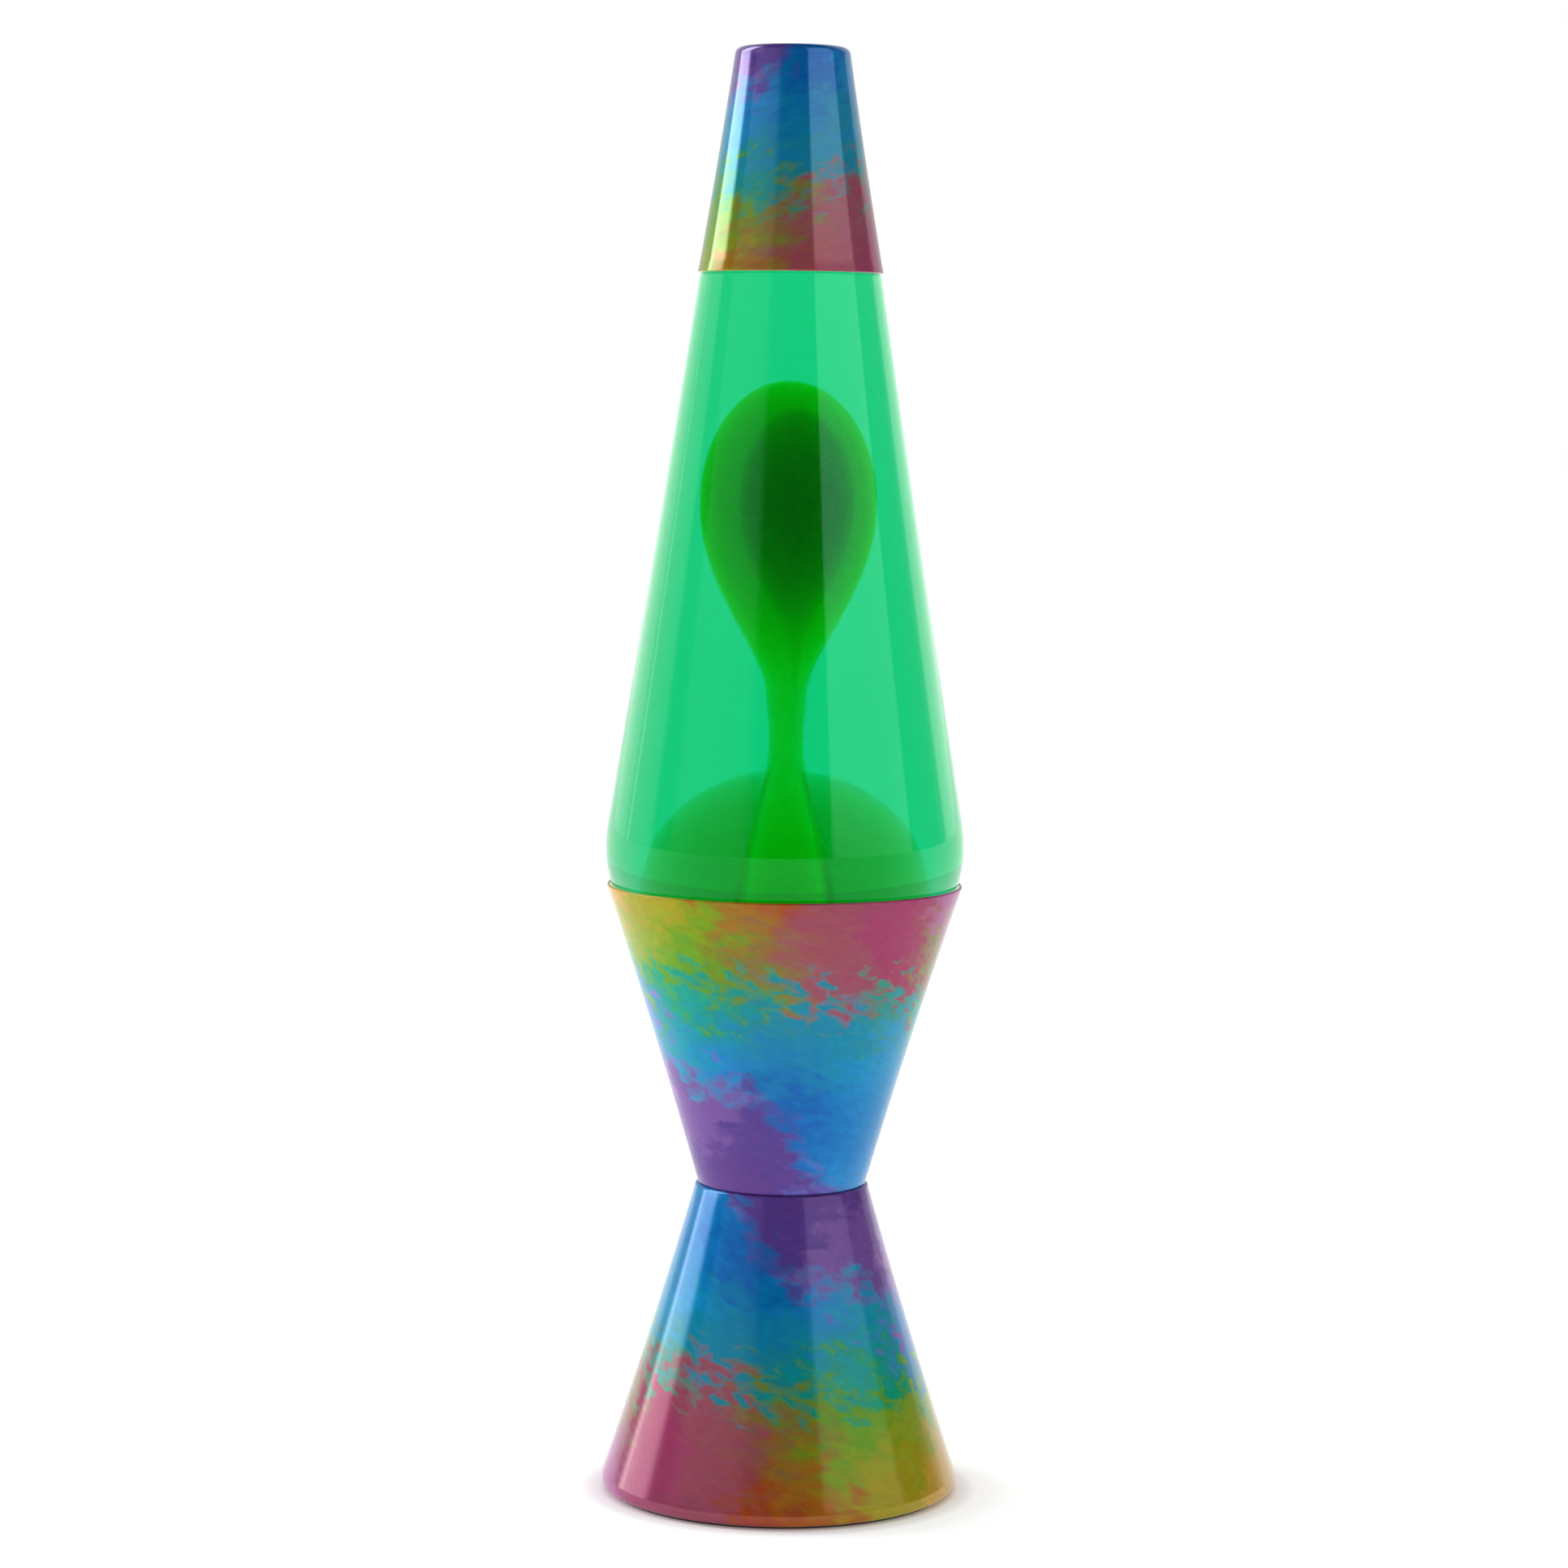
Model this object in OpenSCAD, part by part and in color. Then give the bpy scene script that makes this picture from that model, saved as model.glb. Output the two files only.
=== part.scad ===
// Lava lamp: a sealed bottle of liquid and wax on an hourglass base with a bulb inside.
// The origin is the centre of the foot's underside, +Z is up, and the back is +Y.

/* [Overall] */
// Height from the foot to the top of the cap
lamp_h = 368.3; // [367:0.1:372]
// Height of the seam between the two cones
waist_z = 79.8; // [79.4:0.1:80.2]
// Height of the upper cone's rim
rim_z = 156.9; // [156.5:0.1:157]
// Height of the cap's lower edge
cap_z = 311.8; // [311.7:0.1:312.4]

/* [Spun shells] */
// Wall of the aluminium cones and cap
shell_t = 0.6; // [0.5:0.05:0.65]
// Largest radius of the foot
foot_r = 45.75; // [45.5:0.05:46.5]
// Radius of the lower cone at the waist
lower_waist_r = 22.3; // [22:0.1:22.6]
// Radius of the upper cone at the waist
upper_waist_r = 21.75; // [21.5:0.05:22]
// Radius of the upper cone's rim
rim_r = 45.4; // [45.4:0.05:45.8]
// Radius of the cap's lower edge
cap_low_r = 23.45; // [23.4:0.05:23.8]
// Radius of the cap just under its top edge
cap_top_r = 14.6; // [14.6:0.1:15.2]
// How far the lower cone's wall bows in
lower_sag = 0.45; // [0.1:0.05:0.6]
// How far the upper cone's wall bows in
upper_sag = 0.44; // [0.1:0.02:0.5]

/* [Bottle] */
// Largest radius of the bottle
belly_r = 45.8; // [45.4:0.05:45.8]
// Height of the largest radius
belly_z = 166.1; // [166:0.1:167]
// Height of the bottle's base
bottle_z = 129; // [128:0.5:131]
// Glass wall
glass_t = 2.4; // [2:0.1:2.6]
// Slope of the wall above the belly, in degrees
wall_a = 9.07; // [9:0.01:9.2]
// Slope of the part that sits in the upper cone, in degrees
seat_a = 18.3; // [18.1:0.1:19]
// Outer radius of the neck
neck_r = 12.6; // [12:0.1:12.8]
// Height of the neck's mouth
mouth_z = 355.3; // [354:0.1:356]
// Height of the liquid's surface
fill_z = 328; // [322:0.5:334]

/* [Wax] */
// Height of the pool of wax around the coil
pool_z = 141; // [139:0.5:142]
// Height of the mound at the back
mound_top_z = 184; // [175:0.5:185]
// Radius of the mound
mound_r = 22; // [18:0.5:22]
// Thinnest radius of the stalk
stalk_r = 3.4; // [3:0.1:3.8]
// Height at which the balloon starts
balloon_low_z = 206; // [206:0.5:210]
// Height of the balloon's top
balloon_top_z = 285.3; // [280:0.1:290]
// Largest radius of the balloon
balloon_r = 16.5; // [14:0.1:18]

/* [Lampholder and bulb] */
// Outer radius of the lampholder's threaded neck
holder_neck_r = 11.2; // [11:0.1:11.4]
// Radius of the lampholder's body
holder_r = 12.5; // [12.3:0.1:13]
// Largest radius of the bulb
bulb_r = 17.45; // [16:0.05:18]
// Height of the bulb's lower contact
bulb_z = 63; // [62.9:0.1:63.2]
// Length of the bulb
bulb_len = 59; // [57:0.5:60]
// Pitch of the bulb's thread
thread_pitch = 2.82; // [2.7:0.01:2.9]

/* [Foot] */
// Radius of the base plate
plate_r = 41.3; // [41:0.1:41.4]
// Thickness of the base plate
plate_t = 2.5; // [2.2:0.1:3]
// Radius of the circle that the plate's screws stand on
screw_circle_r = 31; // [30:0.5:33]
// Height of the cord inlet
inlet_z = 18; // [17:0.5:24]
// Radius of the cord inlet's bore
inlet_r = 3.1; // [2.5:0.1:3.2]

/* [Hidden] */
$fn = 96;
gap = 0.1;              // between pieces that are fixed to each other
run_gap = 0.3;          // between pieces that move past each other

// Cap
cap_round_r = 2;
cap_sag = 0.2;

// Cones
hole_r = holder_neck_r + 0.4;
edge_r = 0.8;
lip_r = 0.45;
upper_a = atan2(rim_r - upper_waist_r, rim_z - waist_z);
foot_z = 0.5;           // underside of the lower cone's turned-in lip
foot_curl_r = 2.4;
foot_bulge_r = 5.5;
foot_bulge_a = 20;
foot_lip_r = plate_r + 0.2;
curl_c = [foot_r - foot_curl_r, foot_z + foot_curl_r];
bulge_c = [foot_r - foot_bulge_r, foot_z + foot_curl_r];
lower_p = bulge_c + foot_bulge_r * [cos(foot_bulge_a), sin(foot_bulge_a)];
lower_q = [lower_waist_r, waist_z - edge_r];
lower_a = atan2(lower_p[0] - lower_q[0], lower_q[1] - lower_p[1]);

// Bottle
heel_r = 6;
punt_r = 27;
punt_h = 5;
punt_bow_r = (punt_r * punt_r + punt_h * punt_h) / (2 * punt_h);
belly_low_r = 29;
belly_up_r = 40;
wall_sag = 0.2;
shoulder_r = 6;
throat_r = 8;
ledge_z = cap_z - 0.5;
ledge_step = 0.75;
ledge_rise = 0.2;
shoulder_z = 325.5;
bead_r = 13.3;
bead_round_r = 2;
bead_h = 6.3;
belly_low_c = [belly_r - belly_low_r, belly_z];
belly_up_c = [belly_r - belly_up_r, belly_z];
heel_c = [belly_low_c[0] - (heel_r - belly_low_r + (belly_z - bottle_z - heel_r) * sin(seat_a))
    / cos(seat_a), bottle_z + heel_r];
belly_top = belly_up_c + belly_up_r * [cos(wall_a), sin(wall_a)];
ledge = [belly_top[0] - (ledge_z - belly_top[1]) * tan(wall_a), ledge_z];
shoulder_c = [ledge[0] - ledge_step - (shoulder_z - ledge_z) * tan(wall_a) - shoulder_r * cos(wall_a),
    shoulder_z - shoulder_r * sin(wall_a)];
throat_dr = neck_r + throat_r - shoulder_c[0];
throat_c = shoulder_c + [throat_dr, sqrt(pow(shoulder_r + throat_r, 2) - pow(throat_dr, 2))];
throat_a = atan2(throat_c[1] - shoulder_c[1], throat_dr);

// Wax
balloon_mid_z = 253;
balloon_neck_r = 4;
mound_y = 13;
mound_mid_z = 150;
thin_z = 190;
flare_r = 11.4;         // how much wider the stalk is at the pool than at its thinnest
coil_r = 24;
coil_tube_r = 1.8;
coil_z = 134.8;

// Lampholder
washer_t = 1;
flange_r = 15;
flange_t = 3;
flange_z = waist_z - shell_t - washer_t;
holder_low_z = bulb_z - 13;
holder_top_z = bulb_z + 23;
holder_floor_z = bulb_z - 2;
holder_bore_r = 9.1;
neck_pitch = 1.5;
neck_depth = 0.2;
nut_z = waist_z + shell_t;
nut_t = 4.5;
nut_r = 16;
terminal_x = 8.5;
terminal_t = 0.8;
terminal_w = 6.8;
terminal_z = bulb_z - 7.5;
screw_r = 1.4;

// Bulb
thread_r = 7.95;
thread_depth = 0.3;
thread_low_z = bulb_z + 4.5;
thread_top_z = thread_low_z + 4 * thread_pitch;
sheet_t = 0.3;
bulb_wall = 0.6;
bulb_c = [0, bulb_z + bulb_len - bulb_r];
bulb_neck = [7.4, bulb_z + 23];
bulb_low = [6.9, bulb_z + 12];
press_z = bulb_z + 29;
filament_z = bulb_z + 42;
filament_x = 8;

// Foot
plate_z = 0.9;
boss_r = 5;
boss_top_z = 6;
head_r = 3.2;
head_t = 1.8;
shank_r = 1.6;
recess_t = 2;
bracket_t = 0.8;
bracket_w = 9;
bracket_top_z = 20;
vents = 12;
slot_r = 12;
slot_size = [12, 1.6];
sleeve_r = inlet_r + 1.4;

// Points on an arc about c, from angle a0 to angle a1
function arc(c, r, a0, a1, n = 8) =
    [for (i = [0:n]) let (a = a0 + (a1 - a0) * i / n) c + r * [cos(a), sin(a)]];
// Points between p and q on a shallow bow, to the right of the way from p to q
function bow(p, q, sag, n = 6) = let (d = q - p, side = [d[1], -d[0]] / norm(d))
    [for (i = [1:n - 1]) let (t = i / n) p + d * t + side * sag * 4 * t * (1 - t)];
// Points up a ridged wall, such as a rolled thread, over a whole number of pitches
function ridges(r, depth, low, pitch, turns, n = 6) =
    [for (i = [0:n * turns]) [r + depth * cos(360 * i / n), low + pitch * i / n]];
function flip(points) = [for (i = [len(points) - 1:-1:0]) points[i]];
function tail(points) = [for (i = [1:len(points) - 1]) points[i]];
function end(points) = points[len(points) - 1];

// Outer wall of the cap at a depth t
function cap_line(t) = let (low = [cap_low_r - t, cap_z],
    top = arc([cap_top_r, lamp_h] - [1, 1] * cap_round_r, cap_round_r - t, 0, 90))
    concat([low], bow(low, top[0], -cap_sag), top, [[0, lamp_h - t]]);
// Outer radius of the lower cone at a height
function lower_r(z) = let (t = (z - lower_p[1]) / (lower_q[1] - lower_p[1]))
    lower_p[0] + (lower_q[0] - lower_p[0]) * t - lower_sag * 4 * t * (1 - t);
// Underside of the bottle raised by t, from the axis outwards
function punt(t) = [for (p = arc([0, bottle_z + punt_h - punt_bow_r], punt_bow_r, 90,
    90 - asin(punt_r / punt_bow_r))) p + [0, t]];
// Wall of the bottle at a depth t, from its heel to the top of its belly
function belly_line(t) = concat(arc(heel_c, heel_r - t, -90, -seat_a),
    arc(belly_low_c, belly_low_r - t, -seat_a, 0), tail(arc(belly_up_c, belly_up_r - t, 0, wall_a, 4)));
// Wall of the bottle at a depth t, over its shoulder and throat
function throat_line(t) = concat(arc(shoulder_c, shoulder_r - t, wall_a, throat_a),
    tail(arc(throat_c, throat_r + t, 180 + throat_a, 180)));
// Half outline of the space inside the bottle, shrunk by g
function cavity(g) = let (t = glass_t + g, low = belly_line(t), high = throat_line(t))
    concat(punt(t), low, bow(end(low), high[0], -wall_sag), high, [[0, end(high)[1]]]);
// Half outline of the wax balloon, grown by g
function balloon(g = 0) = concat([[0, balloon_low_z - g], [balloon_neck_r + g, balloon_low_z - g]],
    [for (i = [1:10]) let (t = i / 10)
        [balloon_neck_r + g + (balloon_r - balloon_neck_r) * (1 - cos(180 * pow(t, 0.75))) / 2,
            balloon_low_z + (balloon_mid_z - balloon_low_z) * t]],
    [for (a = [9:9:90]) [(balloon_r + g) * cos(a),
        balloon_mid_z + (balloon_top_z - balloon_mid_z + g) * sin(a)]]);
// Half outline of the wax stalk, grown by g, from the pool to the balloon
function stalk(g = 0) = let (top = balloon_low_z - run_gap) concat([[0, pool_z - g]],
    [for (i = [0:8]) let (t = i / 8)
        [stalk_r + g + flare_r * pow(1 - t, 1.53), pool_z - g + (thin_z - pool_z + g) * t]],
    [for (i = [1:3]) let (t = i / 3)
        [stalk_r + g + (balloon_neck_r - stalk_r) * t * t, thin_z + (top - thin_z) * t]],
    [[0, top]]);
// Half outline of the wax mound, grown by g, from just under the pool's surface
function mound(g = 0) = concat([[0, pool_z - 2], [mound_r + g, pool_z - 2]],
    [for (a = [0:9:90]) [(mound_r + g) * cos(a), mound_mid_z + (mound_top_z - mound_mid_z + g) * sin(a)]]);
// Thread of the bulb's cap, moved out by g
function bulb_thread(g) = ridges(thread_r + g, thread_depth, thread_low_z, thread_pitch, 4);
// Outline of the bulb's glass at a depth t
function bulb_line(t) = let (low = bulb_low - [t, 0], neck = bulb_neck - [t, 0], d = neck - bulb_c,
    tangent_a = atan2(d[1], d[0]) + acos((bulb_r - t) / norm(d)))
    concat([low, neck], arc(bulb_c, bulb_r - t, tangent_a, 90, 16));

module spin(points) {
    rotate_extrude() polygon(points);
}

// A round bar from a to b
module bar(a, b, r) {
    d = b - a;
    translate(a) rotate([0, acos(d[2] / norm(d)), atan2(d[1], d[0])]) cylinder(r = r, h = norm(d));
}

// Repeats its children around the axis
module around(count, start = 0) {
    for (i = [0:count - 1]) rotate(start + 360 * i / count) children();
}

// Puts its children on the cord inlet's axis, with +Z out of the back
module at_inlet() {
    translate([0, lower_r(inlet_z), inlet_z]) rotate([lower_a - 90, 0, 0]) children();
}

module cap() {
    color("slateblue") spin(concat(cap_line(0), flip(cap_line(shell_t))));
}

// Fluted steel crown, crimped over the mouth's bead
module crown_cap() {
    skirt_r = 14.6;
    skirt_z = mouth_z - 5.2;
    corner = [bead_r - 1.2, mouth_z - 1.3];
    color("silver") difference() {
        spin(concat([[0, mouth_z + 0.7]], arc(corner, 2, 90, 0, 5), [[skirt_r - 0.4, skirt_z],
            [skirt_r, skirt_z]], arc(corner, 2.3, 0, 90, 5), [[0, mouth_z + 1]]));
        around(21) translate([skirt_r + 0.95, 0, skirt_z - 1]) cylinder(r = 1.15, h = 3.6);
    }
}

module crown_seal() {
    seal_r = bead_r - 1.6;
    color("lightyellow") translate([0, 0, mouth_z + gap]) cylinder(r = seal_r, h = 0.5);
}

module glass_bottle() {
    low = belly_line(0);
    inner_low = belly_line(glass_t);
    inner_high = throat_line(glass_t);
    bead_top_z = mouth_z - bead_round_r;
    color("honeydew", 0.4) spin(concat(punt(0), low, bow(end(low), ledge, -wall_sag),
        [ledge, ledge + [-ledge_step, ledge_rise]], throat_line(0),
        [[neck_r, bead_top_z - bead_h], [bead_r, bead_top_z - bead_h + 0.9]],
        arc([bead_r - bead_round_r, bead_top_z], bead_round_r, 0, 90, 5),
        [[neck_r - glass_t, mouth_z]], flip(inner_high),
        bow(inner_high[0], end(inner_low), wall_sag), flip(inner_low), flip(punt(glass_t))));
}

module liquid() {
    color("springgreen", 0.5) difference() {
        spin(cavity(gap));
        translate([0, 0, fill_z]) cylinder(r = belly_r, h = 40);
        translate([0, 0, bottle_z]) cylinder(r = belly_r, h = pool_z + gap - bottle_z);
        spin(balloon(run_gap));
        spin(stalk(gap));
        translate([0, mound_y, 0]) spin(mound(gap));
    }
}

module wax_balloon() {
    color("limegreen") spin(balloon());
}

module wax_stalk() {
    color("limegreen") spin(stalk());
}

// Pool of wax in the bottle's base, with a mound at the back
module wax_mound() {
    color("green") difference() {
        union() {
            intersection() {
                spin(cavity(gap));
                translate([0, 0, bottle_z]) cylinder(r = belly_r, h = pool_z - gap - bottle_z);
            }
            translate([0, mound_y, 0]) spin(mound());
        }
        spin(stalk(gap));
        translate([0, 0, coil_z]) rotate_extrude() translate([coil_r, 0]) circle(r = coil_tube_r + gap);
    }
}

// Envelope of the wire coil that spreads the heat in the wax
module heat_coil() {
    color("gainsboro") translate([0, 0, coil_z])
        rotate_extrude() translate([coil_r, 0]) circle(r = coil_tube_r);
}

module upper_cone() {
    foot = arc([upper_waist_r - edge_r, waist_z + edge_r], edge_r, -90, -upper_a, 5);
    lip = arc([rim_r, rim_z] - [1, 1] * lip_r, lip_r, -upper_a, 180 - upper_a);
    corner = [upper_waist_r - shell_t / cos(upper_a), waist_z + shell_t];
    color("orchid") spin(concat([[hole_r, waist_z]], foot, bow(end(foot), lip[0], -upper_sag),
        lip, bow(end(lip), corner, upper_sag), [corner, [hole_r, waist_z + shell_t]]));
}

module lower_cone() {
    wall = shell_t / cos(lower_a);
    corner = [lower_waist_r - wall - gap, waist_z - shell_t];
    color("royalblue") difference() {
        spin(concat([[foot_lip_r, foot_z]], arc(curl_c, foot_curl_r, -90, 0),
            tail(arc(bulge_c, foot_bulge_r, 0, foot_bulge_a, 4)), bow(lower_p, lower_q, -lower_sag),
            arc(lower_q - [edge_r, 0], edge_r, lower_a, 90, 5),
            [[hole_r, waist_z], [hole_r, waist_z - shell_t], corner],
            bow(corner, lower_p - [wall, 0], lower_sag),
            flip(tail(arc(bulge_c, foot_bulge_r - shell_t, 0, foot_bulge_a, 4))),
            flip(arc(curl_c, foot_curl_r - shell_t, -90, 0)), [[foot_lip_r, foot_z + shell_t]]));
        at_inlet() translate([0, 0, -6]) cylinder(r = sleeve_r + gap, h = 12);
    }
}

// Ring nut that clamps both cones to the lampholder
module ring_nut() {
    bore_r = holder_neck_r + gap;
    color("darkgray") difference() {
        translate([0, 0, nut_z]) cylinder(r = nut_r, h = nut_t);
        spin(concat([[0, nut_z - 1], [bore_r, nut_z - 1]],
            ridges(bore_r - neck_depth, neck_depth, nut_z, neck_pitch, 3),
            [[bore_r, nut_z + nut_t + 1], [0, nut_z + nut_t + 1]]));
        around(8) translate([nut_r + 0.6, 0, nut_z + 1.5]) cylinder(r = 1.6, h = nut_t);
    }
}

module holder_washer() {
    color("firebrick") translate([0, 0, flange_z]) difference() {
        cylinder(r = flange_r - 0.5, h = washer_t);
        translate([0, 0, -1]) cylinder(r = holder_neck_r + gap, h = washer_t + 2);
    }
}

module lampholder() {
    root_r = holder_neck_r - neck_depth;
    color("dimgray") difference() {
        spin(concat([[0, holder_low_z], [holder_r - 1, holder_low_z], [holder_r, holder_low_z + 1],
            [holder_r, flange_z - flange_t - 1], [flange_r, flange_z - flange_t], [flange_r, flange_z],
            [root_r, flange_z], [root_r, nut_z - 0.5]],
            ridges(root_r, neck_depth, nut_z, neck_pitch, 3),
            [[root_r, nut_z + nut_t + 0.5], [root_r, holder_top_z], [0, holder_top_z]]));
        translate([0, 0, holder_floor_z]) cylinder(r = holder_bore_r, h = 40);
        around(2) {
            translate([terminal_x, -4, holder_low_z - 1]) cube([6, 8, 10.5]);
            translate([terminal_x - 4.5, 0, terminal_z]) rotate([0, 90, 0])
                cylinder(r = screw_r + gap, h = 6);
            translate([0, 6.5, holder_low_z - 1]) cylinder(r = 1.6, h = 8);
        }
    }
}

// Brass thread that the bulb screws into
module screw_shell() {
    inner_r = thread_r + run_gap + thread_depth;
    outer_r = inner_r + sheet_t;
    low_z = thread_low_z - 1.5;
    top_z = thread_top_z + 3;
    color("goldenrod") spin(concat([[inner_r, low_z]], bulb_thread(run_gap), [[inner_r, top_z],
        [outer_r, top_z]], flip(bulb_thread(run_gap + sheet_t)), [[outer_r, low_z]]));
}

module centre_contact() {
    color("goldenrod") translate([0, 0, holder_floor_z])
        spin([[0, 0], [4, 0], [4, 0.6], [2.6, 0.6], [2, 1.7], [0, 1.7]]);
}

module terminals() {
    color("goldenrod") around(2) difference() {
        translate([terminal_x, -terminal_w / 2, holder_low_z + 0.5]) cube([terminal_t, terminal_w, 8.5]);
        translate([terminal_x - 1, 0, terminal_z]) rotate([0, 90, 0]) cylinder(r = screw_r + gap, h = 3);
    }
}

module terminal_screws() {
    color("silver") around(2) difference() {
        translate([0, 0, terminal_z]) rotate([0, 90, 0]) {
            translate([0, 0, terminal_x - 4]) cylinder(r = screw_r, h = 5);
            translate([0, 0, terminal_x + terminal_t]) cylinder(r = 2.6, h = 1.6);
        }
        translate([terminal_x + terminal_t + 0.9, -3, terminal_z - 0.3]) cube([2, 6, 0.6]);
    }
}

// The envelope and the stem that holds the filament's leads, melted together into one piece of glass
module bulb_glass() {
    floor_z = bulb_low[1] + 1;
    color("aliceblue", 0.5) spin(concat(bulb_line(0),
        [for (p = flip(bulb_line(bulb_wall))) [p[0], max(p[1], floor_z)]],
        [[3, bulb_z + 14.5], [2.4, bulb_z + 24], [1.6, press_z], [0, press_z], [0, bulb_low[1]]]));
}

module bulb_cap() {
    skirt_r = 8;
    skirt_top_z = bulb_z + 20.5;
    low_z = bulb_z + 3.4;
    color("silver") spin(concat([[5, low_z], [7, low_z]], bulb_thread(0), [[skirt_r, thread_top_z + 1.2],
        [skirt_r, skirt_top_z], [skirt_r - sheet_t, skirt_top_z], [skirt_r - sheet_t, thread_top_z + 1.2]],
        flip(bulb_thread(-sheet_t)), [[7 - sheet_t, low_z + sheet_t], [5, low_z + sheet_t]]));
}

module bulb_insulator() {
    color("black") translate([0, 0, bulb_z])
        spin([[2.5, 1.4], [3.4, 1.4], [6.8, 3.3], [4.9, 3.3], [4.9, 5], [2.5, 5]]);
}

module bulb_tip() {
    color("lightgray") spin(concat(arc([0, bulb_z + 2.4], 2.4, -90, 0), [[2.4, bulb_z + 4],
        [0, bulb_z + 4]]));
}

module bulb_filament() {
    mid = [0, 2, filament_z + 1];
    color("gray") for (s = [-1, 1]) {
        hook = [s * filament_x, 0, filament_z];
        bar([s * 1.2, 0, press_z + gap], hook, 0.3);
        translate(hook) sphere(r = 0.4);
        bar(hook, mid, 0.35);
    }
}

module base_plate() {
    color("darkslategray") difference() {
        union() {
            translate([0, 0, plate_z]) cylinder(r = plate_r, h = plate_t);
            around(3, 30) translate([screw_circle_r, 0, plate_z])
                cylinder(r = boss_r, h = boss_top_z - plate_z);
        }
        around(3, 30) translate([screw_circle_r, 0, 0]) {
            cylinder(r = shank_r + gap, h = 10);
            cylinder(r = head_r + gap, h = plate_z + recess_t);
        }
        around(vents) translate([slot_r, -slot_size[1] / 2, 0]) cube([slot_size[0], slot_size[1], 10]);
    }
}

// Sheet steel angles, spot-welded to the lower cone, that take the plate's screws
module plate_brackets() {
    low_z = boss_top_z + 0.05;
    top_z = low_z + bracket_t;
    wall = shell_t / cos(lower_a) + run_gap;
    color("gray") around(3, 30) difference() {
        rotate([90, 0, 0]) translate([0, 0, -bracket_w / 2]) linear_extrude(bracket_w)
            polygon([[screw_circle_r - 5, low_z], [lower_r(low_z) - wall, low_z],
                [lower_r(bracket_top_z) - wall, bracket_top_z],
                [lower_r(bracket_top_z) - wall - bracket_t, bracket_top_z],
                [lower_r(top_z) - wall - bracket_t, top_z], [screw_circle_r - 5, top_z]]);
        translate([screw_circle_r, 0, 0]) cylinder(r = shank_r + 0.05, h = 20);
    }
}

module plate_screws() {
    head_z = plate_z + recess_t - head_t;
    color("silver") around(3, 30) translate([screw_circle_r, 0, head_z]) difference() {
        union() {
            cylinder(r = head_r, h = head_t);
            cylinder(r = shank_r, h = 8);
        }
        for (a = [0, 90]) rotate(a) translate([-1.9, -0.4, -1]) cube([3.8, 0.8, 1.9]);
    }
}

module foot_ring() {
    color("dimgray") spin([[37, 0], [43.2, 0], [43.2, foot_z], [foot_lip_r - gap, foot_z],
        [foot_lip_r - gap, plate_z], [37, plate_z]]);
}

// Rubber grommet in the hole for the mains cord
module cord_grommet() {
    color("black") at_inlet() spin([[inlet_r, -2.6], [6.1, -2.6], [6.1, -1.2], [sleeve_r, -1.2],
        [sleeve_r, 0.05], [6.2, 0.05], [6.2, 0.9], [5.5, 1.6], [inlet_r, 1.6]]);
}

cap();
crown_cap();
crown_seal();
glass_bottle();
liquid();
wax_balloon();
wax_stalk();
wax_mound();
heat_coil();
upper_cone();
lower_cone();
ring_nut();
holder_washer();
lampholder();
screw_shell();
centre_contact();
terminals();
terminal_screws();
bulb_glass();
bulb_cap();
bulb_insulator();
bulb_tip();
bulb_filament();
base_plate();
plate_brackets();
plate_screws();
foot_ring();
cord_grommet();
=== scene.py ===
import math

import bmesh
import bpy
from mathutils import Matrix, Quaternion, Vector


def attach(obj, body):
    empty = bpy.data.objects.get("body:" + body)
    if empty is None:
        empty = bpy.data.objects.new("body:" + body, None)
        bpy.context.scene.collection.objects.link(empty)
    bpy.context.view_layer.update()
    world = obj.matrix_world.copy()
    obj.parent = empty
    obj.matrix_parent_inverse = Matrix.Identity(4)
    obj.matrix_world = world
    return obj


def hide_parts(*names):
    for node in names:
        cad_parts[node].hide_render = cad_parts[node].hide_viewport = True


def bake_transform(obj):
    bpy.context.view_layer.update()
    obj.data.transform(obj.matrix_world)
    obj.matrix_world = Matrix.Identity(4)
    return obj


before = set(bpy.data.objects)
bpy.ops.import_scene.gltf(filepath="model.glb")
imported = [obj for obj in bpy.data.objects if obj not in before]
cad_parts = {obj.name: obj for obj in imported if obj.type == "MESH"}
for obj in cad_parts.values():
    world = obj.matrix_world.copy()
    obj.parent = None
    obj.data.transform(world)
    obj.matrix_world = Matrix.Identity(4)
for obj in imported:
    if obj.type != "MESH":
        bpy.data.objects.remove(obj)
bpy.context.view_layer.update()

MM = 0.001

# ---------------------------------------------------------------- camera, lights, floor

CAMERA_AT = Vector((-0.0004, -1.0931, 0.2791))
CAMERA_PITCH = math.radians(5.058)
CAMERA_ROLL = math.radians(0.58)
CAMERA_LENS = 98.7
SENSOR_WIDTH = 36


def make_camera():
    data = bpy.data.cameras.new("camera")
    data.lens = CAMERA_LENS
    data.sensor_width = SENSOR_WIDTH
    camera = bpy.data.objects.new("camera", data)
    bpy.context.scene.collection.objects.link(camera)
    forward = Vector((0, math.cos(CAMERA_PITCH), -math.sin(CAMERA_PITCH)))
    camera.rotation_mode = "QUATERNION"
    camera.rotation_quaternion = forward.to_track_quat("-Z", "Y") @ Quaternion((0, 0, 1), CAMERA_ROLL)
    camera.location = CAMERA_AT
    bpy.context.scene.camera = camera


def add(tree, kind, inputs=None, **settings):
    """Adds a node, sets its settings, and sets or links its inputs."""
    made = tree.nodes.new(kind)
    for name, value in settings.items():
        setattr(made, name, value)
    for key, value in (inputs or {}).items():
        if isinstance(value, bpy.types.NodeSocket):
            tree.links.new(value, made.inputs[key])
        else:
            made.inputs[key].default_value = value
    return made


def math_node(tree, operation, a, b=0.0):
    return add(tree, "ShaderNodeMath", {0: a, 1: b}, operation=operation).outputs[0]


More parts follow.
